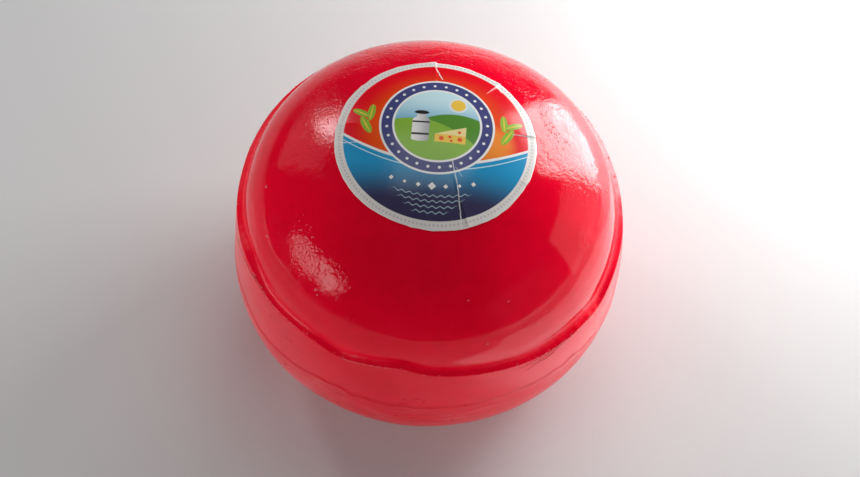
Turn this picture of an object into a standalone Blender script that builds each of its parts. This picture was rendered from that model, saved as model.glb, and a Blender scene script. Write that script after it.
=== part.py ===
"""A ball of cheese in a red wax rind, with a round paper label on its crown.

The cheese is pressed in a cup with a domed lid, so it has a dome, a narrow ledge with a lip where lid and cup
met, a side band and a rounded underside with a small flat foot. The lid sat askew, so the ledge runs higher at
the back left than at the front right, and it wavers. Metres, +Z up. The origin is the middle of the foot.
Angles are measured from the front (-Y) towards the right (+X).
"""

import math

import bmesh
import bpy

BALL_RADIUS = 0.075  # at the widest part of the side band
BALL_HEIGHT = 0.1218  # from the foot to the crown
WIDEST_HEIGHT = 0.0473
FOOT_RADIUS = 0.030

DOME_RADIUS = 0.0700  # where the dome meets the ledge
DOME_POWERS = (1.96, 1.90)  # across and up: two of 2 would make it an ellipse
UNDERSIDE_POWERS = (2.05, 2.2)

SEAM_HEIGHT = 0.0770  # mean height of the lip
SEAM_RADIUS = 0.0733
SEAM_WAVES = ((1, 0.0070, 226.0), (2, 0.0015, -11.0), (3, 0.0018, -4.0))  # turns, height, angle of its top
SEAM_DENTS = ((-65.0, 9.0, 0.0034), (-24.0, 7.0, -0.0028), (-5.0, 6.0, 0.0026), (66.0, 7.0, -0.0022))
DENT_SHARE = 0.5  # how much of the lip's rises and dips the dome's foot follows
DENT_FADE = 20.0  # the higher, the lower down the dome they die out
BALL_WAVES = ((2, 0.00145, -73.0), (3, 0.00025, 54.0))  # how far the pressed ball is out of round

LEDGE_SINK = 0.0003  # the ledge lies this far below the lip
FILLET_RADIUS = 0.0017
LIP_WIDTH = 0.0007
LIP_DROP = 0.0006
LIP_BEND = (0.3, 0.2)  # the rounded lip's middle point, as shares of its width from outside and of its drop

LABEL_RADIUS = 0.0373
LABEL_CENTRE = (-0.0007, 0.0037)
LABEL_GAP = 0.00035
LABEL_THICKNESS = 0.0003

BALL_SEGMENTS = 72
DOME_STEPS = 16
FILLET_STEPS = 4
BAND_STEPS = 4
UNDERSIDE_STEPS = 9
LABEL_SEGMENTS = 48
LABEL_RINGS = 6
MERGE_DISTANCE = 1e-6


def clear_scene():
    for thing in list(bpy.data.objects):
        bpy.data.objects.remove(thing, do_unlink=True)


def plain_material(name, colour, roughness):
    made = bpy.data.materials.new(name)
    made.use_nodes = True
    shader = made.node_tree.nodes["Principled BSDF"]
    shader.inputs["Base Color"].default_value = (*colour, 1.0)
    shader.inputs["Roughness"].default_value = roughness
    shader.inputs["Metallic"].default_value = 0.0
    return made


def waves(terms, angle):
    """Sum of cosines round the ball, each with its own number of turns, height and highest place."""
    return sum(height * math.cos(turns * (angle - math.radians(top))) for turns, height, top in terms)


def dents(angle):
    """Soft rises and dips of the lip, each round its own angle, spread and height."""
    total = 0.0
    for place, spread, height in SEAM_DENTS:
        away = math.degrees(math.remainder(angle - math.radians(place), 2 * math.pi))
        total += height * math.exp(-((away / spread) ** 2))
    return total


def ledge_height(angle):
    return SEAM_HEIGHT + waves(SEAM_WAVES, angle)


def lip_height(angle):
    return ledge_height(angle) + dents(angle)


def dome_radius(angle):
    return DOME_RADIUS + waves(BALL_WAVES, angle)


def dome_foot(angle):
    return ledge_height(angle) - LEDGE_SINK + FILLET_RADIUS


def dome_height(radius, angle):
    """Height of the dome above a point at this radius and angle."""
    across, up = DOME_POWERS
    foot = dome_foot(angle)
    out = min(radius / dome_radius(angle), 1.0)
    smooth = foot + (BALL_HEIGHT - foot) * (1 - out**across) ** (1 / up)
    return smooth + DENT_SHARE * dents(angle) * out**DENT_FADE


def dome_stretch(angle):
    points = []
    for step in range(DOME_STEPS):
        turn = math.pi / 2 * step / DOME_STEPS
        radius = dome_radius(angle) * math.sin(turn) ** (2 / DOME_POWERS[0])
        points.append((radius, dome_height(radius, angle)))
    return points


def ledge_stretch(angle):
    """From the dome's foot through a hollow fillet and along the ledge to the rounded lip."""
    wall = dome_radius(angle)
    foot = dome_height(wall, angle)
    points = []
    for step in range(FILLET_STEPS + 1):
        turn = math.pi / 2 * step / FILLET_STEPS
        points.append((wall + FILLET_RADIUS * (1 - math.cos(turn)), foot - FILLET_RADIUS * math.sin(turn)))
    edge = SEAM_RADIUS + waves(BALL_WAVES, angle)
    points.append((edge - LIP_WIDTH, lip_height(angle)))
    points.append((edge - LIP_BEND[0] * LIP_WIDTH, lip_height(angle) - LIP_BEND[1] * LIP_DROP))
    return points


def band_stretch(angle):
    """The side of the cup, bulging as a parabola from the lip to the widest part."""
    top = lip_height(angle) - LIP_DROP
    points = []
    for step in range(BAND_STEPS):
        share = step / BAND_STEPS
        radius = BALL_RADIUS - (BALL_RADIUS - SEAM_RADIUS) * (1 - share) ** 2
        points.append((radius + waves(BALL_WAVES, angle), top + (WIDEST_HEIGHT - top) * share))
    return points


def underside_stretch(angle):
    across, up = UNDERSIDE_POWERS
    points = []
    for step in range(UNDERSIDE_STEPS + 1):
        turn = math.pi / 2 * step / UNDERSIDE_STEPS
        side = max(math.cos(turn), 0.0)
        radius = FOOT_RADIUS + (BALL_RADIUS - FOOT_RADIUS) * side ** (2 / across)
        radius += waves(BALL_WAVES, angle) * side
        points.append((radius, WIDEST_HEIGHT * (1 - math.sin(turn) ** (2 / up))))
    return points


def ball_outline(angle):
    """The ball's outline from its crown down to the middle of its foot."""
    stretches = (dome_stretch, ledge_stretch, band_stretch, underside_stretch)
    return [point for stretch in stretches for point in stretch(angle)] + [(0.0, 0.0)]


def label_outline(angle):
    """From the label's middle to its rim, lying on the dome at this angle round the label's own middle."""
    points = []
    for ring in range(LABEL_RINGS + 1):
        out = LABEL_RADIUS * ring / LABEL_RINGS
        x = LABEL_CENTRE[0] + out * math.sin(angle)
        y = LABEL_CENTRE[1] - out * math.cos(angle)
        points.append((out, dome_height(math.hypot(x, y), math.atan2(x, -y)) + LABEL_GAP))
    return points


def turned(name, outline, segments, centre, material):
    """A mesh object from outlines of (radius, height) set side by side round an upright axis."""
    bm = bmesh.new()
    rows = []
    for segment in range(segments):
        angle = 2 * math.pi * segment / segments
        side, front = math.sin(angle), -math.cos(angle)
        rows.append(
            [bm.verts.new((centre[0] + r * side, centre[1] + r * front, z)) for r, z in outline(angle)]
        )
    for row, after in zip(rows, rows[1:] + rows[:1]):
        for upper in range(len(row) - 1):
            bm.faces.new((row[upper], row[upper + 1], after[upper + 1], after[upper]))
    bmesh.ops.remove_doubles(bm, verts=bm.verts, dist=MERGE_DISTANCE)
    mesh = bpy.data.meshes.new(name)
    bm.to_mesh(mesh)
    bm.free()
    mesh.shade_smooth()
    mesh.materials.append(material)
    made = bpy.data.objects.new(name, mesh)
    bpy.context.scene.collection.objects.link(made)
    return made


def thicken(thing, thickness):
    """Gives a skin its thickness on its upper side."""
    wall = thing.modifiers.new("thickness", "SOLIDIFY")
    wall.thickness = thickness
    wall.offset = 1.0


def main():
    clear_scene()
    wax = plain_material("red_wax", (0.50, 0.005, 0.024), 0.22)
    paper = plain_material("paper_label", (0.62, 0.60, 0.58), 0.45)
    turned("cheese", ball_outline, BALL_SEGMENTS, (0.0, 0.0), wax)
    label = turned("label", label_outline, LABEL_SEGMENTS, LABEL_CENTRE, paper)
    thicken(label, LABEL_THICKNESS)


main()
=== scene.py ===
import math

import bpy
import numpy as np
from mathutils import Matrix, Vector


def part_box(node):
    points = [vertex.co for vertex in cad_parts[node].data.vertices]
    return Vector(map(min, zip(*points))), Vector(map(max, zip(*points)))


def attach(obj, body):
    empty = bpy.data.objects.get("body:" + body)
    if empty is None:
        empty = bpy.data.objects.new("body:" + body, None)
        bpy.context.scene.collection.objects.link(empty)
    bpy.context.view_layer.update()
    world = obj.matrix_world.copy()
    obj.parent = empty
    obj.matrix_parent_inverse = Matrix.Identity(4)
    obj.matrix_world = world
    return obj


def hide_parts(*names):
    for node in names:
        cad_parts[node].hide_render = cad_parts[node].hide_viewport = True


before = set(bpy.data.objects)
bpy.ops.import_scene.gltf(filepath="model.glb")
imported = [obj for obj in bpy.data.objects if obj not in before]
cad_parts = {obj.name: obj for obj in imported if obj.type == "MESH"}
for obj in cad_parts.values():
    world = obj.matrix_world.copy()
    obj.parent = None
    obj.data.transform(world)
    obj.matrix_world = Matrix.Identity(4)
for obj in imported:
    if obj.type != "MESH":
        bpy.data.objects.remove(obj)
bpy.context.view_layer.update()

cheeseLow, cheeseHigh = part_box("cheese")
labelLow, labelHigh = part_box("label")
mm = 0.001


# ---- the press's own shape, which wax and label share

ball = {
    "radius": (cheeseHigh.x - cheeseLow.x + cheeseHigh.y - cheeseLow.y) / 4,
    "height": cheeseHigh.z,
    "widest": 47.3 * mm,  # height of the widest part of the side band
    "foot": 30 * mm,  # radius of the flat foot
    "domeRadius": 70 * mm,
    "domePowers": (2.066, 1.635),  # across and up: two of 2 would make it an ellipse
    "undersidePowers": (2.05, 2.2),
    "seamHeight": 77 * mm,  # mean height of the lip
    "seamRadius": 73.3 * mm,
    "seamWaves": ((1, 7.0 * mm, 226), (2, 1.5 * mm, -11), (3, 1.8 * mm, -4)),  # turns, height, angle of top
    "seamDents": (  # angle, spread in degrees, rise
        (-65, 9, 3.4 * mm), (-24, 7, -2.8 * mm), (-5, 6, 2.6 * mm), (66, 7, -2.2 * mm),
    ),
    "dentShare": 0.5,  # how much of the lip's rises the dome's foot follows
    "dentFade": 20,
    "outOfRound": ((2, 1.45 * mm, -73), (3, 0.25 * mm, 54)),
    "footRise": 2.9 * mm,  # how far over the lip the dome ends and the sloping shoulder starts
    "shoulderBend": (0.05 * mm, 1.45 * mm),  # the shoulder's bend, out from the dome and over the lip
    "lip": (0.45 * mm, 0.6 * mm),  # the lip's rounding, in and down
}


def smooth(value, low, high):  # 0 below low, 1 above high, and an easy curve between
    share = np.clip((value - low) / (high - low), 0, 1)
    return share * share * (3 - 2 * share)


def waves(terms, angle):  # cosines round the ball: turns, height and the angle of the highest place
    return sum(height * np.cos(turns * (angle - math.radians(top))) for turns, height, top in terms)


def rises(terms, angle):  # soft rises round the ball: angle, spread and height
    def away(place):
        return np.degrees(np.angle(np.exp(1j * (angle - math.radians(place)))))
    return sum(height * np.exp(-(away(place) / spread) ** 2) for place, spread, height in terms)


def ripples(points, length, seed, count=24):  # sines in random directions, each about one length long
    draw = np.random.default_rng(seed)
    ways = draw.normal(size=(count, 3))
    ways /= np.linalg.norm(ways, axis=1, keepdims=True)
    ways *= (2 * math.pi / length / draw.uniform(0.7, 1.5, count))[:, None]
    return np.sin(points @ ways.T + draw.uniform(0, 2 * math.pi, count)).sum(-1) / math.sqrt(count / 2)


def ragged(angle, turns, seed):  # an uneven line round the ball: cosines of every order between two
    draw = np.random.default_rng(seed)
    orders = np.arange(*turns)
    sizes = draw.normal(size=len(orders)) / np.sqrt(orders)
    turned = np.cos(np.asarray(angle)[..., None] * orders + draw.uniform(0, 2 * math.pi, len(orders)))
    return (turned * sizes).sum(-1) / math.sqrt((sizes ** 2).sum() / 2)


def ledgeHeight(angle):
    return ball["seamHeight"] + waves(ball["seamWaves"], angle)


def lipHeight(angle):
    return ledgeHeight(angle) + rises(ball["seamDents"], angle)


def outOfRound(angle):
    return waves(ball["outOfRound"], angle)


def domeHeight(radius, angle):  # height of the smooth dome above a place at this radius and angle
    across, up = ball["domePowers"]
    foot = ledgeHeight(angle) + ball["footRise"]
    out = np.clip(radius / (ball["domeRadius"] + outOfRound(angle)), 0, 1)
    dome = foot + (ball["height"] - foot) * (1 - out ** across) ** (1 / up)
    return dome + ball["dentShare"] * rises(ball["seamDents"], angle) * out ** ball["dentFade"]


def outward(points):  # unit normals of a grid whose rows run down and whose columns run round
    down = np.gradient(points, axis=0)
    across = np.roll(points, -1, 1) - np.roll(points, 1, 1)
    normal = np.cross(down, across)
    return normal / np.maximum(np.linalg.norm(normal, axis=-1, keepdims=True), 1e-15)


undulation = {  # how far hand-dipped wax is from smooth: length of a swell, its height, random seed
    "broad": (46 * mm, 0.07 * mm, 11),
    "middle": (19 * mm, 0.025 * mm, 12),
    "small": (8 * mm, 0.006 * mm, 13),
}


def swell(points):
    return sum(height * ripples(points, length, seed) for length, height, seed in undulation.values())


def sideRadius(height, angle):  # of the side band, a parabola between the lip and the widest place
    low, high = ball["widest"], lipHeight(angle) - ball["lip"][1]
    over = np.clip((height - low) / (high - low), 0, 1)
    return ball["radius"] + outOfRound(angle) - (ball["radius"] - ball["seamRadius"]) * over ** 2


def onBall(degrees, radius):  # the place on the dome at this angle and this distance from its axis
    angle = math.radians(degrees)
    return (radius * math.sin(angle), -radius * math.cos(angle), float(domeHeight(radius, angle)))


# ---- meshes from grids

def ringMesh(name, points, poles=True):
    # Joins a grid into a closed skin: rows run down, columns run round and meet. With poles, the first and
    # last rows are single points; without, the last row joins the first, as on a tube that closes on itself.
    rows, columns = points.shape[:2]
    if poles:
        flat = np.vstack([points[0, :1], points[1:-1].reshape(-1, 3), points[-1, :1]])
        index = 1 + np.arange((rows - 2) * columns).reshape(rows - 2, columns)
        upper, lower = index[:-1], index[1:]
    else:
        flat = points.reshape(-1, 3)
        upper = np.arange(rows * columns).reshape(rows, columns)
        lower = np.roll(upper, -1, 0)
    quads = np.stack([upper, lower, np.roll(lower, -1, 1), np.roll(upper, -1, 1)], -1).reshape(-1, 4)
    faces = quads.tolist()
    if poles:
        after = np.roll(index, -1, 1)
        faces += np.stack([np.zeros(columns, int), index[0], after[0]], -1).tolist()
        faces += np.stack([np.full(columns, len(flat) - 1), after[-1], index[-1]], -1).tolist()
    mesh = bpy.data.meshes.new(name)
    mesh.from_pydata(flat.tolist(), [], faces)
    mesh.shade_smooth()
    made = bpy.data.objects.new(name, mesh)
    bpy.context.scene.collection.objects.link(made)
    return made


def spread(grid):  # a value for each point of a grid with poles, in the order of ringMesh
    return np.concatenate([grid[0, :1], grid[1:-1].ravel(), grid[-1, :1]])


def paint(piece, name, values):
    layer = piece.data.attributes.new(name, "FLOAT", "POINT")
    layer.data.foreach_set("value", np.ascontiguousarray(values, np.float32))


# ---- the waxed cheese

rind = {
    "columns": 576,
    "domeRows": 70,
    "shoulderRows": 16,
    "lipRows": 6,
    "bandRows": 34,
    "undersideRows": 36,
    "footRows": 4,
    "footSoftening": (14, 10, 28),  # rows over and under the dome's foot, and passes that round them off
    "lipSoftening": (5, 8, 3),
    "lipRagged": (0.04 * mm, 0.15 * mm),  # how uneven the lip is where it is neat, and where it is torn
    "tornPlaces": ((48, 24, 1.0), (-60, 14, 0.8), (-25, 8, 0.3), (150, 20, 0.8), (-140, 16, 0.6)),
    "jag": (54.5, 1.8, 0.35 * mm),  # one sharp tooth of the torn lip: angle, spread, height
    "secondDip": {  # where the second dip of wax ends on the side
        "height": 50 * mm,
        "waves": ((1, 2.5 * mm, -30), (3, 1.2 * mm, 40)),
        "rises": ((-50, 12, -4 * mm), (-24, 9, 2 * mm), (75, 14, -4 * mm)),
        "ragged": 0.5 * mm,
        "step": 0.22 * mm,
        "bead": 0.12 * mm,
    },
    "blister": (117, 47 * mm, 4.4 * mm, 0.16 * mm),  # angle, place, radius and height of the soft round bump
    "worked": (  # where the dome is uneven from the brush: angle, distance from the axis, reach, how much
        (180, 50, 32, 1.0), (-152, 52, 26, 1.0), (150, 52, 24, 1.0), (-118, 48, 28, 0.65), (-88, 46, 22, 0.5),
        (-62, 54, 16, 0.6), (-47, 60, 13, 0.9), (-36, 59, 12, 0.9), (120, 52, 22, 0.7), (92, 54, 22, 0.7),
        (100, 42, 14, 0.8),
    ),
    "pitted": (  # where little pits lie, in the same way
        (146, 46, 4, 0.5), (139, 46, 4, 0.8), (132, 45, 4, 0.8), (125, 45, 4, 0.7), (119, 45, 4, 0.6),
        (112, 46, 6, 1.0), (105, 49, 5, 0.9), (128, 56, 4, 0.5), (101, 61, 4, 0.5), (-105, 46, 10, 0.4),
        (-118, 50, 12, 0.4), (-130, 56, 14, 0.35), (175, 54, 18, 0.3), (-46, 61, 7, 0.35), (-24, 64, 4, 0.3),
    ),
    "pitsElsewhere": 0.006,
    "wiped": ((72, 60.5, 7, 1.0),),  # a patch wiped with a brush
}


def patches(points, places):  # the most of several soft round patches on the dome
    found = 0
    for degrees, out, reach, share in places:
        away = np.linalg.norm(points - np.array(onBall(degrees, out * mm)), axis=-1)
        found = np.maximum(found, share * smooth(away, reach * mm, 0.3 * reach * mm))
    return found


def torn(angle):  # 0 where the lip is neat, 1 where its wax is torn
    return np.clip(rises(rind["tornPlaces"], angle), 0, 1)


def raggedLip(angle):
    neat, rough = rind["lipRagged"]
    fine = ragged(angle, (9, 150), 21)
    return lipHeight(angle) + (neat + (rough - neat) * torn(angle)) * fine + rises([rind["jag"]], angle)


def secondDipHeight(angle):
    dip = rind["secondDip"]
    line = dip["height"] + waves(dip["waves"], angle) + rises(dip["rises"], angle)
    return line + dip["ragged"] * ragged(angle, (5, 60), 22)


def bent(start, control, end, rows):  # a curve from start to end that leaves and arrives towards control
    share = np.linspace(0, 1, rows)[:, None]
    return (1 - share) ** 2 * start + 2 * share * (1 - share) * control + share ** 2 * end


def soften(grid, row, over, under, passes):  # draws rows near this one towards the ones beside them
    first, last = row - over, row + under
    for _ in range(passes):
        beside = grid[first - 1:last - 1] + grid[first + 1:last + 1]
        grid[first:last] = (beside + 2 * grid[first:last]) / 4


def rindProfile(angle):
    # Rows of radius and height from the crown to the middle of the foot. Dome: radius goes with the sine and
    # height with the cosine of a turn, each to a power. Then the shoulder and the lip, each a curve with one
    # control point, a parabola down the side, the underside like the dome, and the flat foot.
    around = angle[None, :]
    uneven = outOfRound(around)
    wall = ball["domeRadius"] + uneven
    edge = ball["seamRadius"] + uneven
    top = raggedLip(around)

    across, up = ball["domePowers"]
    turn = np.linspace(0, 1, rind["domeRows"], endpoint=False)[:, None] ** 0.9 * math.pi / 2
    domeR = wall * np.sin(turn) ** (2 / across)
    domeZ = domeHeight(domeR, around)
    domeFoot = domeHeight(wall, around)

    inward, downward = ball["lip"]
    out, over = ball["shoulderBend"]
    shoulderR = bent(wall, wall + out, edge - inward, rind["shoulderRows"])
    shoulderZ = bent(domeFoot, top + over, top, rind["shoulderRows"])
    lipR = bent(edge - inward, edge - 0.1 * inward, edge, rind["lipRows"])[1:]
    lipZ = bent(top, top - 0.25 * downward, top - downward, rind["lipRows"])[1:]

    share = np.linspace(0, 1, rind["bandRows"] + 1)[1:, None] ** 1.1
    bandR = ball["radius"] + uneven - (ball["radius"] - ball["seamRadius"]) * (1 - share) ** 2
    bandZ = lipZ[-1:] + (ball["widest"] - lipZ[-1:]) * share

    across, up = ball["undersidePowers"]
    turn = np.linspace(0, math.pi / 2, rind["undersideRows"] + 1)[1:, None]
    side = np.clip(np.cos(turn), 0, 1)
    underR = ball["foot"] + (ball["radius"] - ball["foot"]) * side ** (2 / across) + uneven * side
    underZ = ball["widest"] * (1 - np.sin(turn) ** (2 / up)) + 0 * around

    share = np.linspace(1, 0, rind["footRows"] + 1)[1:, None]
    footR = ball["foot"] * share + 0 * around
    footZ = 0 * footR

    radius = np.vstack([domeR, shoulderR, lipR, bandR, underR, footR])
    height = np.vstack([domeZ, shoulderZ, lipZ, bandZ, underZ, footZ])
    foot = rind["domeRows"]
    soften(radius, foot, *rind["footSoftening"])
    soften(height, foot, *rind["footSoftening"])
    soften(radius, foot + rind["shoulderRows"], *rind["lipSoftening"])
    soften(height, foot + rind["shoulderRows"], *rind["lipSoftening"])
    return radius, height


def makeRind():
    angle = np.arange(rind["columns"]) * 2 * math.pi / rind["columns"]
    radius, height = rindProfile(angle)
    points = np.stack([radius * np.sin(angle), -radius * np.cos(angle), height], -1)
    normal = outward(points)
    normal[0], normal[-1] = (0, 0, 1), (0, 0, -1)
    rows = np.arange(len(points))[:, None]
    lipRow = rind["domeRows"] + rind["shoulderRows"]
    below = smooth(rows + 0 * angle, lipRow - 1, lipRow + 4)  # 0 on the dome and 1 on the side and underside

    dip = rind["secondDip"]
    under = secondDipHeight(angle)[None, :] - height
    fade = smooth(height, 12 * mm, 40 * mm)
    lift = dip["step"] * smooth(under, 0, 1.6 * mm) * fade
    lift += dip["bead"] * np.exp(-((under - 1.2 * mm) / (1.1 * mm)) ** 2)
    place, out, size, rise = rind["blister"]
    away = np.linalg.norm(points - np.array(onBall(place, out)), axis=-1)
    standing = smooth(height, 0.2 * mm, 9 * mm)
    relief = swell(points) * standing + lift * below + rise * np.exp(-(away / size) ** 4)
    points = points + normal * relief[..., None]

    onDome = 1 - below
    pitted = (patches(points, rind["pitted"]) + rind["pitsElsewhere"]) * onDome
    piece = ringMesh("waxedCheese", points)
    paint(piece, "worked", spread(patches(points, rind["worked"]) * onDome))
    paint(piece, "pitted", spread(pitted))
    paint(piece, "wiped", spread(patches(points, rind["wiped"]) * onDome))
    paint(piece, "below", spread(below))
    paint(piece, "underDip", spread(np.clip(under / mm, -20, 20) * below - 20 * (1 - below)))
    # painted bounce light: rows in the shoulder's hollow, which the wax paints brighter red and makes rougher
    inShoulder = np.exp(-((rows - lipRow + 7) / 7.0) ** 2)
    paint(piece, "hollow", spread(inShoulder + 0 * angle))
    return piece


# ---- thin wax at the lip

flash = {  # the thin blade of wax squeezed out between lid and cup
    "columns": 1800,
    "root": 0.6 * mm,  # how deep it is rooted in the lip
    "thick": 0.10 * mm,
    "height": (-0.4 * mm, 0.0 * mm),  # where the lip is neat, and where it is torn
    "lean": 0.25,  # how far the blade leans outwards for its height
}


def makeFlash():
    # A blade carried round the lip: its section is a tall thin rhomb with a blunt tip, whose height wavers.
    angle = np.arange(flash["columns"]) * 2 * math.pi / flash["columns"]
    neat, rough = flash["height"]
    wild = np.clip(0.45 + 0.55 * ragged(angle, (30, 420), 31), 0, 1.6)
    tall = neat + (rough - neat) * torn(angle) * wild
    edge = ball["seamRadius"] + outOfRound(angle) - 0.6 * ball["lip"][0]
    base = raggedLip(angle) - flash["root"]
    normalLift = swell(np.stack([edge * np.sin(angle), -edge * np.cos(angle), base], -1))
    edge = edge + normalLift + 0.10 * mm * ragged(angle, (12, 200), 32)
    outs = np.array([-1.0, -0.6, 0.0, 0.6, 1.0, 0.0])[:, None] * flash["thick"]
    ups = np.array([0.0, 0.75, 1.0, 0.75, 0.0, -0.15])[:, None]
    rise = ups * (tall + flash["root"])
    radius = edge + outs * (0.5 + 0.5 * (1 - np.clip(ups, 0, 1))) + flash["lean"] * rise * np.clip(ups, 0, 1)
    height = base + rise
    points = np.stack([radius * np.sin(angle), -radius * np.cos(angle), height], -1)
    return ringMesh("waxFlash", points[::-1], poles=False)


thread = {  # a hair of wax that came loose beside the lip: angle, height over the lip, way out of the side
    "route": (
        (-76, -6.4, 0.35), (-73, -4.4, 0.45), (-70.5, -3.2, 0.5), (-67.5, -2.6, 0.5), (-64, -2.2, 0.45),
        (-60.5, -1.5, 0.4), (-57, -0.7, 0.35), (-54.5, -0.2, 0.3), (-52.6, -0.7, 0.2),
    ),
    "radius": 0.16 * mm,
    "steps": 120,
    "sides": 8,
    "wander": 0,
}

slivers = {  # low ridges of wax torn along the lip, half sunk in the side; routes as the thread's
    "routes": (
        ((64, 0.1, 0), (60, -0.1, 0), (56, 0, 0), (52, -0.3, 0), (48, -0.6, 0), (44, -1.1, 0), (40, -2.2, 0),
         (36, -4.4, 0), (33, -5.4, 0)),
        ((50, -0.1, 0), (46, -0.4, 0), (43, -0.5, 0), (40, -0.9, 0), (37, -1.7, 0), (33, -2.3, 0), (29, -2.7, 0)),
        ((47, -1.6, 0), (44, -2.4, 0), (42, -3.4, 0), (39, -3.9, 0), (37, -5.2, 0)),
        ((-60, -0.4, 0), (-57, -0.2, 0), (-54, -0.5, 0), (-50, -0.3, 0), (-46, -0.7, 0), (-42, -0.5, 0)),
        ((-24, -0.5, 0), (-19, -0.6, 0), (-14, -0.4, 0), (-8, -0.6, 0), (-3, -0.4, 0)),
        ((118, -0.3, 0), (124, -0.8, 0), (130, -0.6, 0), (137, -1.5, 0), (142, -1.3, 0)),
        ((-170, -0.4, 0), (-162, -0.8, 0), (-155, -0.5, 0), (-147, -1.2, 0), (-141, -0.9, 0)),
    ),
    "radius": 0.11 * mm,
    "steps": 110,
    "sides": 6,
    "wander": 0.24 * mm,
}


def strand(route, made, seed):
    # A round section carried along a smooth line through the route's points, thin at both ends.
    route = np.array(route)
    knots = np.linspace(0, 1, len(route))
    place = np.linspace(0, 1, made["steps"])
    powers = np.polynomial.polynomial.polyfit(knots, route, min(6, len(route) - 1))
    degrees, up, out = np.polynomial.polynomial.polyval(place, powers)
    angle = np.radians(degrees)
    height = lipHeight(angle) + up * mm + made["wander"] * ragged(2 * math.pi * place, (4, 40), seed)
    radius = sideRadius(height, angle) + out * mm
    line = np.stack([radius * np.sin(angle), -radius * np.cos(angle), height], -1)
    ahead = np.gradient(line, axis=0)
    ahead /= np.linalg.norm(ahead, axis=1, keepdims=True)
    away = np.stack([np.sin(angle), -np.cos(angle), 0 * angle], -1)
    beside = np.cross(ahead, away)
    beside /= np.linalg.norm(beside, axis=1, keepdims=True)
    away = np.cross(beside, ahead)
    turn = np.arange(made["sides"]) * 2 * math.pi / made["sides"]
    uneven = 1 + 0.35 * ragged(2 * math.pi * place, (6, 30), seed + 50) * (made["wander"] > 0)
    thick = made["radius"] * np.clip(uneven, 0.3, 2) * np.sqrt(np.clip(np.sin(math.pi * place), 0, 1))
    ring = np.cos(turn)[:, None] * away[:, None] + np.sin(turn)[:, None] * beside[:, None]
    return line[:, None] + thick[:, None, None] * ring


def makeThread():
    return ringMesh("waxThread", strand(thread["route"], thread, 61))


def makeSlivers():
    parts = [ringMesh("waxSlivers", strand(route, slivers, 62 + k)) for k, route in enumerate(slivers["routes"])]
    with bpy.context.temp_override(active_object=parts[0], selected_editable_objects=parts):
        bpy.ops.object.join()
    return parts[0]


crumbs = {  # loose crumbs of wax: angle and spread in degrees, how many, smallest and largest radius
    "heaps": ((-56, 2.2, 7, 0.15, 0.42), (-48, 6, 5, 0.12, 0.28), (-30, 8, 4, 0.12, 0.25), (5, 25, 6, 0.12, 0.28),
              (50, 14, 8, 0.12, 0.3), (120, 30, 6, 0.12, 0.35), (-130, 40, 8, 0.12, 0.35)),
    "seed": 41,
}

drops = {  # little drops that stand on the dome: angle, distance from the axis, radius
    "places": ((-38.0, 64.0, 0.7), (-36.8, 64.8, 0.45), (-80, 63.0, 0.6), (-64, 66.5, 0.5), (32, 58.0, 0.4),
               (17, 55.0, 0.35), (22, 66.0, 0.4), (-150, 60.0, 0.6), (95, 66.0, 0.5)),
    "flat": 0.36,  # height of a drop as a share of its radius
}


def lumps(name, centres, sizes, seed):
    # One small ball of 42 points, copied to every centre as whole arrays, each stretched and dented its own way.
    bpy.ops.mesh.primitive_ico_sphere_add(subdivisions=2, radius=1)
    model = bpy.context.object
    unit = np.array([v.co for v in model.data.vertices])
    faces = np.array([tuple(p.vertices) for p in model.data.polygons])
    bpy.data.objects.remove(model)
    draw = np.random.default_rng(seed)
    dents = 1 + 0.22 * np.stack([ripples(unit + 9 * k, 1.6, seed + k, 8) for k in range(len(centres))])
    shape = unit[None] * dents[..., None] * sizes[:, None, :]
    turn = draw.uniform(0, 2 * math.pi, len(centres))
    flatTurn = np.stack([np.cos(turn), -np.sin(turn), np.sin(turn), np.cos(turn)], -1).reshape(-1, 2, 2)
    shape[..., :2] = np.einsum("kij,kpj->kpi", flatTurn, shape[..., :2])
    points = shape + centres[:, None]
    joined = faces[None] + len(unit) * np.arange(len(centres))[:, None, None]
    mesh = bpy.data.meshes.new(name)
    mesh.from_pydata(points.reshape(-1, 3).tolist(), [], joined.reshape(-1, 3).tolist())
    mesh.shade_smooth()
    made = bpy.data.objects.new(name, mesh)
    bpy.context.scene.collection.objects.link(made)
    return made


def makeCrumbs():
    draw = np.random.default_rng(crumbs["seed"])
    places, sizes = [], []
    for middle, spreadOut, count, small, large in crumbs["heaps"]:
        places.append(np.radians(draw.normal(middle, spreadOut, count)))
        sizes.append(draw.uniform(small, large, count) * mm)
    angle, size = np.concatenate(places), np.concatenate(sizes)
    inward = draw.uniform(0, 1, len(angle))
    radius = ball["seamRadius"] + outOfRound(angle) - 0.9 * mm * (0.1 + inward)
    height = lipHeight(angle) + 0.3 * size + 0.3 * mm * inward - 0.1 * mm
    centres = np.stack([radius * np.sin(angle), -radius * np.cos(angle), height], -1)
    return lumps("waxCrumbs", centres, size[:, None] * draw.uniform(0.6, 1.2, (len(size), 3)), 42)


def makeDrops():
    centres = np.array([onBall(degrees, out * mm) for degrees, out, _ in drops["places"]])
    centres += swell(centres)[:, None] * centres / np.linalg.norm(centres, axis=1, keepdims=True)
    size = np.array([radius for *_, radius in drops["places"]]) * mm
    return lumps("waxDrops", centres, size[:, None] * np.array([1, 1, drops["flat"]]), 43)


# ---- the paper label

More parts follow.
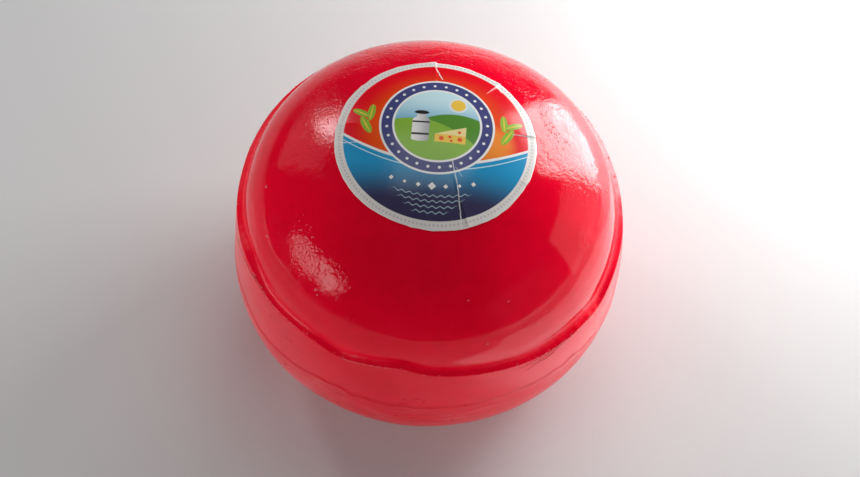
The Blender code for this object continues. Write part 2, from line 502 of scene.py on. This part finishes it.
paper = {
    "centre": ((labelLow.x + labelHigh.x) / 2, (labelLow.y + labelHigh.y) / 2),
    "radius": (labelHigh.x - labelLow.x) / 2,
    "columns": 720,
    "rings": 72,
    "gap": 0.17 * mm,  # from the wax to the paper's upper side
    "thick": 0.13 * mm,
    "corners": (  # where the rim is folded or cut straight: angle, spread, how far in
        (-97, 9, -0.35 * mm), (-128, 7, -0.3 * mm), (152, 10, -0.75 * mm), (128, 13, -0.55 * mm),
        (104, 6, -0.3 * mm), (-20, 16, -0.3 * mm), (60, 15, -0.25 * mm), (-174, 3, 0.35 * mm),
        (178, 30, -0.8 * mm),
    ),
    "pleats": (  # angle, where it starts, height, width in degrees: paper laid over itself
        (-97, 0.66, 0.38 * mm, 7), (-128, 0.76, 0.28 * mm, 6), (-176, 0.58, 0.42 * mm, 5),
        (143, 0.70, 0.48 * mm, 7), (101, 0.68, 0.42 * mm, 6), (23, 0.25, 0.40 * mm, 5),
        (-45, 0.85, 0.16 * mm, 6), (68, 0.86, 0.18 * mm, 5),
    ),
    "lift": 0.10 * mm,  # how far the rim stands off in places
}


def paperPoints():
    # Rings spread from the label's middle to its rim, laid on the dome. Each pleat climbs slowly on one side
    # of its angle and drops at once on the other, and grows towards the rim.
    angle = np.arange(paper["columns"]) * 2 * math.pi / paper["columns"]
    share = np.linspace(0, 1, paper["rings"])[:, None]
    rim = paper["radius"] + rises(paper["corners"], angle) + 0.05 * mm * ragged(angle, (6, 60), 51)
    out = share * rim
    x = paper["centre"][0] + out * np.sin(angle)
    y = paper["centre"][1] - out * np.cos(angle)
    radius, around = np.hypot(x, y), np.arctan2(x, -y)
    points = np.stack([x, y, domeHeight(radius, around)], -1)
    normal = outward(points)
    normal[0] = normal[1].mean(0)
    relief = swell(points) + paper["gap"]
    for place, start, height, width in paper["pleats"]:
        away = np.degrees(np.angle(np.exp(1j * (angle - math.radians(place)))))
        slope = np.where(away > 0, np.exp(-away / width), np.exp(away / 0.35))
        relief = relief + height * slope * smooth(share, start, 1.0)
    loose = np.clip(ragged(angle, (2, 14), 52), 0, 2)
    relief = relief + paper["lift"] * loose * smooth(share, 0.93, 1.0)
    return points + normal * relief[..., None], normal


def makePaper():
    upper, normal = paperPoints()
    lower = upper - normal * paper["thick"]
    closed = np.vstack([upper, lower[::-1]])
    return ringMesh("paperLabel", closed)


# ---- shader maths

class Field:  # a node's output, on which + - * / add Math nodes
    def __init__(self, tree, output=None):
        self.tree, self.output = tree, output

    def node(self, kind, settings=None, inputs=None, output=0):
        # Any node: its settings are set first, a ramp's stops among them, then its sockets' values or links.
        made = self.tree.nodes.new(kind)
        for name, value in (settings or {}).items():
            setattr(made, name, value)
        for name, value in (inputs or {}).items():
            if isinstance(value, Field):
                self.tree.links.new(value.output, made.inputs[name])
            else:
                made.inputs[name].default_value = value
        return Field(self.tree, made.outputs[output])

    def math(self, operation, *values):
        return self.node("ShaderNodeMath", {"operation": operation}, dict(enumerate(values)))

    def __add__(self, other):
        return self.math("ADD", self, other)

    def __sub__(self, other):
        return self.math("SUBTRACT", self, other)

    def __rsub__(self, other):
        return self.math("SUBTRACT", other, self)

    def __mul__(self, other):
        return self.math("MULTIPLY", self, other)

    def __truediv__(self, other):
        return self.math("DIVIDE", self, other)

    def __pow__(self, other):
        return self.math("POWER", self, other)

    __radd__, __rmul__ = __add__, __mul__

    def least(self, other):
        return self.math("MINIMUM", self, other)

    def most(self, other):
        return self.math("MAXIMUM", self, other)

    def step(self, low, high):  # 0 to 1 between two values, eased; turned round where low is above high
        ends = {"Value": self, "From Min": low, "From Max": high}
        return self.node("ShaderNodeMapRange", {"interpolation_type": "SMOOTHSTEP"}, ends)

    def over(self, below, above):  # one colour laid over another, as much as this value says
        colours = {0: self, 6: below, 7: above}
        return self.node("ShaderNodeMix", {"data_type": "RGBA"}, colours, 2)

    def scaled(self, x, y, z):
        return self.node("ShaderNodeVectorMath", {"operation": "MULTIPLY"}, {0: self, 1: (x, y, z)})

    def noise(self, size, detail=2.0, rough=0.5, bend=0.0):  # about 0 to 1, with patches about this size
        values = {"Vector": self, "Scale": 1 / size, "Detail": detail, "Roughness": rough, "Distortion": bend}
        return self.node("ShaderNodeTexNoise", {}, values)

    def painted(self, name):  # a value painted on the mesh
        return self.node("ShaderNodeAttribute", {"attribute_name": name}, output="Fac")


def newMaterial(name):
    made = bpy.data.materials.new(name)
    made.use_nodes = True
    tree = made.node_tree
    shader = tree.nodes["Principled BSDF"]
    field = Field(tree)
    where = field.node("ShaderNodeTexCoord", output="Object")
    return made, shader, field, where


def bumped(shader, height, strength=1.0):  # height in millimetres
    sockets = {"Height": height, "Distance": mm, "Strength": strength}
    link = height.node("ShaderNodeBump", {}, sockets)
    height.tree.links.new(link.output, shader.inputs["Normal"])


# ---- red wax

wax = {
    "deep": (0.68, 0.0003, 0.0170, 1),
    "plain": (0.75, 0.0004, 0.0210, 1),
    "thin": (0.80, 0.0040, 0.0300, 1),  # where wax is thin or has bloomed
    "dust": (0.72, 0.13, 0.16, 1),  # pale bloom on the side
    "hollow": (0.90, 0.0003, 0.0240, 1),  # painted bounce light: a brighter red laid in the shoulder's hollow and in the pits, for the light thrown back and forth there
    "crumb": (0.92, 0.30, 0.30, 1),
    "line": (0.52, 0.0003, 0.0100, 1),  # the deep red along the end of the second dip
    "gloss": 0.09,  # roughness of the dome
    "satin": 0.30,  # and of the side
    "hollowRough": 0.20,  # how much rougher the shoulder is
    "grain": 0.75 * mm,  # size of that unevenness
    "grainHeight": 0.16,
    "lump": 1.7 * mm,  # and of the soft lumps under it
    "lumpHeight": 0.11,
    "pitSize": 1.3 * mm,
    "pitDepth": 0.25,
}


def cells(where, size):  # distance from the middle of a cell this large, and the cell's own chance
    sockets = {"Vector": where, "Scale": 1 / size, "Randomness": 1.0}
    away = where.node("ShaderNodeTexVoronoi", {"feature": "F1"}, sockets)
    colour = where.node("ShaderNodeTexVoronoi", {"feature": "F1"}, sockets, "Color")
    return away, where.node("ShaderNodeSeparateColor", {}, {"Color": colour})


def waxMaterial(name, skin):
    made, shader, field, where = newMaterial(name)
    cloud = where.noise(30 * mm, 3)
    mottle = where.noise(6 * mm, 4, 0.6, 0.4)
    peel = where.noise(2.4 * mm, 2)
    grain = where.noise(0.7 * mm, 2)
    tone = cloud * 0.6 + mottle * 0.4
    colour = tone.step(0.36, 0.64).over(wax["deep"], wax["plain"])
    height = peel * 0.014 + grain * 0.004
    rough = wax["gloss"] + (mottle - 0.5) * 0.10
    if skin:
        below, underDip, hollow = field.painted("below"), field.painted("underDip"), field.painted("hollow")
        uneven = field.painted("worked") * where.noise(8 * mm, 3, 0.6).step(0.32, 0.52)
        height = height + uneven * where.noise(wax["grain"], 1, 0.5) * wax["grainHeight"]
        height = height + uneven * where.noise(wax["lump"], 1, 0.5) * wax["lumpHeight"]
        away, chance = cells(where, wax["pitSize"])
        pit = away.step(0.34, 0.18) * (field.painted("pitted") - chance).step(0.0, 0.05)
        height = height - pit * wax["pitDepth"]
        away, chance = cells(where, 2.6 * mm)
        speck = away.step(0.11, 0.05) * chance.step(0.80, 0.82)
        colour = (speck * 0.16).over(colour, wax["dust"])
        height = height + speck * (1 - below) * 0.02

        wiped = field.painted("wiped")
        strokes = where.scaled(1, 0.22, 0.22).noise(0.9 * mm, 2, 0.5)
        height = height + wiped * strokes * 0.16
        rough = rough + wiped * strokes.step(0.48, 0.58) * 0.35

        streak = where.scaled(0.08, 0.08, 1).noise(1.7 * mm, 3, 0.6)
        hair = where.scaled(0.09, 0.09, 1).noise(0.75 * mm, 2, 0.5)
        second = underDip.step(0.2, 1.4)
        patchy = where.scaled(0.5, 0.5, 1).noise(9 * mm, 2).step(0.42, 0.60)
        height = height + below * (streak * (0.05 + second * 0.12) + patchy * hair * (0.03 + second * 0.10))
        rough = rough + below * (wax["satin"] - wax["gloss"])
        rough = rough + below * (streak - 0.5) * 0.10
        bloom = below * where.noise(14 * mm, 3, 0.6).step(0.42, 0.75)
        colour = (bloom * 0.20).over(colour, wax["thin"])
        colour = (below * second * 0.55).over(colour, wax["deep"])
        colour = (below * underDip.step(-0.5, 0.2) * underDip.step(1.4, 0.6) * 0.5).over(colour, wax["line"])
        colour = (below * patchy * hair.step(0.52, 0.62) * (0.08 + second * 0.32)).over(colour, wax["dust"])
        colour = (below * second * hair.step(0.46, 0.36) * 0.45).over(colour, wax["line"])
        # painted light: the pits are painted the same brighter red as the shoulder's hollow, standing in for light
        # bounced inside them
        colour = (pit * 0.8).over(colour, wax["hollow"])
        # painted bounce light: the shoulder's hollow painted brighter red
        colour = (hollow * 0.9).over(colour, wax["hollow"])
        rough = rough + hollow * wax["hollowRough"]
        rough = rough + pit * 0.7
    else:
        colour = (mottle * 0.5 + 0.3).over(colour, wax["crumb"])
        rough = rough + 0.22
    shader.inputs["Coat Weight"].default_value = 0.10
    shader.inputs["Coat Roughness"].default_value = 0.05
    shader.inputs["Coat IOR"].default_value = 1.35
    shader.inputs["IOR"].default_value = 1.38
    shader.inputs["Subsurface Weight"].default_value = 0.20
    shader.inputs["Subsurface Radius"].default_value = (1.0, 0.12, 0.10)
    shader.inputs["Subsurface Scale"].default_value = 2.0 * mm
    made.node_tree.links.new(colour.output, shader.inputs["Base Color"])
    made.node_tree.links.new(rough.output, shader.inputs["Roughness"])
    bumped(shader, height)
    return made


# ---- the label's print

ink = {
    "paper": (0.67, 0.63, 0.60, 1),
    "grey": (0.34, 0.34, 0.36, 1),
    "red": (0.70, 0.002, 0.012, 1),
    "orange": (0.74, 0.075, 0.003, 1),
    "amber": (0.80, 0.32, 0.05, 1),
    "navy": (0.040, 0.034, 0.085, 1),
    "ring": (0.055, 0.060, 0.190, 1),
    "blue": (0.020, 0.270, 0.510, 1),
    "sky": (0.50, 0.70, 0.74, 1),
    "white": (0.76, 0.75, 0.73, 1),
    "black": (0.020, 0.018, 0.018, 1),
    "yellow": (0.78, 0.50, 0.06, 1),
    "cream": (0.80, 0.66, 0.30, 1),
    "green": (0.085, 0.25, 0.030, 1),
    "leaf": (0.22, 0.42, 0.040, 1),
    "edge": 0.12,  # softness of a printed edge, mm
}

design = {  # measures of the design, in millimetres from the label's middle
    "field": 34.2,  # radius of the printed field inside the bare rim
    "picture": (0.0, 4.5),
    "pictureRings": (21.4, 20.6, 16.6, 15.8),  # white line, dark ring and white line round the picture
    "pips": (28, 18.6, 0.55),  # how many, how far out, and their radius
    "bowl": (-13.0, 0.0105),  # height of the blue bowl's rim in the middle, and how fast it climbs
    "ticks": (150, 35.2, 36.0),
    "sun": (7.2, 14.2, 2.7),
    "churn": -6.0,
    "wedge": (-0.6, 10.8, -3.4, 0.0, 4.2),  # left, right, bottom, top of its side, top of its back
    "holes": ((1.9, -1.7, 0.9), (5.0, -0.9, 0.6), (5.6, -2.5, 0.5), (8.7, -1.6, 0.9), (8.4, 1.5, 0.6)),
    "leaves": ((26.2, 3.4, 4.2, 1.5, 62), (24.6, 9.0, 3.8, 1.4, 96), (28.3, 9.0, 3.6, 1.3, 30)),
    "lozenges": ((-15, 0.9), (-10, 0.7), (-5, 0.9), (0, 1.5), (5, 0.9), (10, 0.7), (15, 0.9)),
    "ripples": ((-25.2, 15, 0.16), (-27.2, 13, 0.16), (-29.2, 10.5, 0.16), (-31.2, 7.5, 0.16)),
    "creases": (  # from, to, and half width
        (6.6, -10.5, 9.2, -20.0, 0.24), (9.2, -20.0, 12.4, -36.5, 0.30), (8.0, -13.0, 10.6, -16.5, 0.14),
        (-3.8, 36.5, 0.5, 27.0, 0.36), (-36.5, -3.8, -28.5, -4.2, 0.22), (28.0, 5.4, 36.0, 6.6, 0.26),
        (19.5, 31.0, 23.0, 25.0, 0.34), (21.0, 28.8, 25.5, 27.0, 0.16),
    ),
}


def disc(u, v, x, y, across, up=None, turn=0.0):  # 1 inside an ellipse with these half axes
    up = across if up is None else up
    right, over = math.cos(math.radians(turn)), math.sin(math.radians(turn))
    du, dv = u - x, v - y
    along = (du * right + dv * over) / across
    athwart = (dv * right - du * over) / up
    soft = ink["edge"] / min(across, up)
    return (along * along + athwart * athwart).step((1 + soft) ** 2, (1 - soft) ** 2)


def above(value, low):  # 1 where a measure is over this
    return value.step(low - ink["edge"], low + ink["edge"])


def between(value, low, high):
    return above(value, low) * value.step(high + ink["edge"], high - ink["edge"])


def sunnyPicture(u, v):
    # A sunny hillside with a milk churn and a wedge of cheese, in the space inside the rings.
    x, y = design["picture"]
    picture = (v - y).step(-6, 13).over(ink["blue"], ink["sky"])
    sunX, sunY, sunR = design["sun"]
    picture = (disc(u, v, sunX, sunY, sunR + 0.8) * 0.6).over(picture, ink["white"])
    picture = disc(u, v, sunX, sunY, sunR).over(picture, ink["yellow"])
    picture = above((u - 7) * (u - 7) * -0.022 + 9.6 - v, 0).over(picture, ink["green"])
    picture = above((u + 9) * (u + 9) * -0.018 + 6.6 - v, 0).over(picture, ink["leaf"])
    x = design["churn"]
    round_ = (u - x).step(-3.5, 4.5)
    metal = round_.over(ink["white"], ink["grey"])
    body = (between(u, x - 3.2, x + 3.2) * between(v, -2.6, 5.4)).most(disc(u, v, x, 5.4, 3.2, 2.2))
    body = body.most(disc(u, v, x, -2.6, 3.2, 1.0))
    body = body.most(between(u, x - 1.7, x + 1.7) * between(v, 5.4, 9.2))
    picture = body.over(picture, metal)
    picture = (body * between(v, -0.9, 0.0)).over(picture, ink["black"])
    picture = (body * between(v, 4.6, 5.3)).over(picture, ink["black"])
    picture = disc(u, v, x, 9.4, 2.7, 0.9).over(picture, ink["black"])
    left, right, bottom, top, back = design["wedge"]
    side = between(u, left, right) * between(v, bottom, top)
    slope = (back - top) / (right - left)
    upper = between(u, left, right) * above(v, top) * above((u - left) * slope + top - v, 0)
    picture = side.over(picture, ink["yellow"])
    picture = upper.over(picture, ink["cream"])
    for x, y, size in design["holes"]:
        picture = (side.most(upper) * disc(u, v, x, y, size)).over(picture, ink["orange"])
    return picture


def labelPrint(u, v):
    out = (u * u + v * v) ** 0.5
    # a field that goes from red at the rim to orange, and to amber low on the right
    colour = out.step(32, 20).over(ink["red"], ink["orange"])
    glow = ((u - 21) * (u - 21) + (v + 2) * (v + 2)).step(110, 0)
    colour = (glow * 0.7).over(colour, ink["amber"])
    # a blue bowl across the foot of the label, with a white line over it and a pale one in it
    low, climb = design["bowl"]
    bowl = v - low - u * u * climb
    colour = above(bowl * -1, -1.1).over(colour, ink["white"])
    colour = above(bowl * -1, 0).over(colour, v.step(-27, -11).over(ink["navy"], ink["blue"]))
    colour = between(bowl, -2.0, -1.6).over(colour, ink["sky"])
    for side in (-1, 1):
        for x, y, long, wide, tilt in design["leaves"]:
            colour = disc(u, v, side * x, y, long, wide, side * tilt).over(colour, ink["leaf"])
            colour = disc(u, v, side * x, y, long * 0.8, 0.22, side * tilt).over(colour, ink["yellow"])
    x, y = design["picture"]
    du, dv = u - x, v - y
    away = (du * du + dv * dv) ** 0.5
    outer, dark, inner, picture = design["pictureRings"]
    colour = above(away * -1, -outer).over(colour, ink["white"])
    colour = above(away * -1, -dark).over(colour, ink["ring"])
    count, far, size = design["pips"]
    part = du.math("ARCTAN2", du, dv) * (count / (2 * math.pi))
    beside = (part.math("FRACT", part) - 0.5) * (2 * math.pi * far / count)
    pip = (beside * beside + (away - far) * (away - far)) ** 0.5
    colour = above(pip * -1, -size).over(colour, ink["white"])
    colour = above(away * -1, -inner).over(colour, ink["white"])
    colour = above(away * -1, -picture).over(colour, sunnyPicture(u, v))
    for x, size in design["lozenges"]:
        y = -21.5 + x * x * 0.012
        lozenge = (u - x).math("ABSOLUTE", u - x) + (v - y).math("ABSOLUTE", v - y)
        colour = above(lozenge * -1, -size).over(colour, ink["white"])
    for y, reach, wide in design["ripples"]:  # fine waves under the lozenges
        line = v - y - u * u * 0.012 - (u * 2.2).math("SINE", u * 2.2) * 0.35
        near = u.math("ABSOLUTE", u).step(reach, reach - 3)
        colour = (line.math("ABSOLUTE", line).step(wide + 0.12, wide - 0.06) * near * 0.6).over(colour, ink["sky"])
    # the bare rim, with a ring of small grey ticks
    rim = above(out, design["field"])
    colour = rim.over(colour, ink["paper"])
    count, low, high = design["ticks"]
    part = u.math("ARCTAN2", u, v) * (count / (2 * math.pi))
    tick = between(out, low, high) * part.math("FRACT", part).step(0.45, 0.55)
    return (tick * 0.55).over(colour, ink["grey"]), rim


def creases(u, v, scuff):  # cracks in the ink along the folds, thin lines that come and go
    found = None
    for startU, startV, endU, endV, wide in design["creases"]:
        long = math.hypot(endU - startU, endV - startV)
        right, over = (endU - startU) / long, (endV - startV) / long
        along = (u - startU) * right + (v - startV) * over
        aside = (v - startV) * right - (u - startU) * over + (scuff - 0.5) * 0.7
        crack = aside.math("ABSOLUTE", aside).step(wide, 0.3 * wide) * between(along, 0, long)
        found = crack if found is None else found.most(crack)
    return found * (0.35 + scuff)


def labelMaterial():
    made, shader, field, where = newMaterial("printedPaper")
    flat = field.node("ShaderNodeVectorMath", {"operation": "SUBTRACT"}, {0: where, 1: (*paper["centre"], 0)})
    axes = flat.scaled(1 / mm, 1 / mm, 0)
    u = axes.node("ShaderNodeSeparateXYZ", {}, {0: axes}, "X")
    v = axes.node("ShaderNodeSeparateXYZ", {}, {0: axes}, "Y")
    colour, rim = labelPrint(u, v)
    fibre = where.noise(0.5 * mm, 3)
    wave = where.noise(7 * mm, 2)
    scuff = where.noise(1.4 * mm, 4, 0.7)
    colour = (scuff.step(0.66, 0.80) * 0.12).over(colour, ink["white"])
    colour = (creases(u, v, scuff) * 0.85).over(colour, ink["white"])
    rough = 0.19 + (wave - 0.5) * 0.10 + rim * 0.20
    made.node_tree.links.new(colour.output, shader.inputs["Base Color"])
    made.node_tree.links.new(rough.output, shader.inputs["Roughness"])
    shader.inputs["IOR"].default_value = 1.42
    bumped(shader, fibre * 0.006 + wave * 0.10)
    return made


# ---- what is around it: floor, lamps, camera

def makeFloor():
    reach = 3.0
    mesh = bpy.data.meshes.new("floor")
    mesh.from_pydata([(-reach, -reach, 0), (reach, -reach, 0), (reach, reach, 0), (-reach, reach, 0)], [],
                     [(0, 1, 2, 3)])
    made = bpy.data.objects.new("floor", mesh)
    bpy.context.scene.collection.objects.link(made)
    look, shader, field, where = newMaterial("paleFloor")
    shader.inputs["Base Color"].default_value = (0.62, 0.62, 0.62, 1)
    shader.inputs["Roughness"].default_value = 0.6
    shader.inputs["Specular IOR Level"].default_value = 0.2
    made.data.materials.append(look)


lamps = {  # angle, distance from the ball's axis, height of its middle, width, height, brightness, mirrored
    "softboxRight": (132, 0.36, 0.158, 0.21, 0.31, 11.0, True),
    "glowRight": (98, 0.45, 0.12, 0.26, 0.24, 0.8, True),
    "windowBackLeft": (-133.2, 0.743, 0.489, 0.115, 0.19, 14.0, True),
    "glowBackLeft": (-128, 0.80, 0.42, 0.50, 0.50, 0.5, True),
    "stripLeft": (-59.8, 0.63, 0.28, 0.42, 0.15, 4.0, True),
    "overhead": (180, 0.35, 1.0, 0.6, 0.5, 1.6, True),
    "cardRight": (72, 0.175, 0.003, 0.26, 0.23, 0.8, True),
    "cardLeft": (-80, 0.135, 0.003, 0.16, 0.16, 0.10, True),
    "fillFront": (0, 0.9, 0.11, 0.8, 0.20, 3.2, False),
    "fillLeft": (-80, 1.3, 0.16, 0.8, 0.28, 8.3, False),
    "fillRight": (60, 0.7, 0.16, 0.5, 0.28, 4.3, False),
    "fillBack": (170, 0.6, 0.5, 0.4, 0.4, 2.0, False),
}


def makeLamps():  # each faces the ball, or up where it lies on the floor; power follows from brightness and size
    for name, (degrees, distance, lift, width, height, brightness, mirrored) in lamps.items():
        angle = math.radians(degrees)
        place = Vector((math.sin(angle) * distance, -math.cos(angle) * distance, lift))
        facing = Vector((0, 0, 5 if "card" in name else 0.09))
        light = bpy.data.lights.new(name, "AREA")
        light.shape = "RECTANGLE"
        light.size, light.size_y = width, height
        light.energy = math.pi * width * height * brightness
        made = bpy.data.objects.new(name, light)
        made.location = place
        made.rotation_mode = "QUATERNION"
        made.rotation_quaternion = (facing - place).to_track_quat("-Z", "Y")
        made.visible_camera = False
        made.visible_glossy = mirrored
        bpy.context.scene.collection.objects.link(made)


def makeWorld():
    world = bpy.data.worlds.new("studio")
    world.use_nodes = True
    world.node_tree.nodes["Background"].inputs["Color"].default_value = (0.5, 0.5, 0.5, 1)
    world.node_tree.nodes["Background"].inputs["Strength"].default_value = 0.06
    bpy.context.scene.world = world


view = {
    "aim": (0.0003, 0.0, 0.0514),
    "distance": 0.8,
    "elevation": 60,
    "roll": 5.04,
    "lens": 84.65,
}


def makeCamera():
    up, tilt = math.radians(view["elevation"]), math.radians(view["roll"])
    back = Vector((0, -math.cos(up), math.sin(up)))
    level = Vector((1, 0, 0))
    over = back.cross(level)
    right = level * math.cos(tilt) + over * math.sin(tilt)
    over = back.cross(right)
    data = bpy.data.cameras.new("camera")
    data.lens = view["lens"]
    made = bpy.data.objects.new("camera", data)
    turned = Matrix((right, over, back)).transposed().to_4x4()
    made.matrix_world = Matrix.Translation(Vector(view["aim"]) + back * view["distance"]) @ turned
    bpy.context.scene.collection.objects.link(made)
    bpy.context.scene.camera = made


# ---- all together

skinWax = waxMaterial("redWax", True)
bitWax = waxMaterial("redWaxBits", False)
print("wax mixed")
cheese = makeRind()
cheese.data.materials.append(skinWax)
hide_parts("cheese")
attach(cheese, "root")
print("rind", len(cheese.data.polygons))
for make in (makeFlash, makeThread, makeSlivers, makeCrumbs, makeDrops):
    piece = make()
    piece.data.materials.append(bitWax)
    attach(piece, "root")
    print(piece.name, len(piece.data.polygons))
label = makePaper()
label.data.materials.append(labelMaterial())
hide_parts("label")
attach(label, "root")
print("label", len(label.data.polygons))

makeFloor()
makeLamps()
makeWorld()
makeCamera()
bpy.context.scene.view_settings.view_transform = "Standard"
print("studio ready")
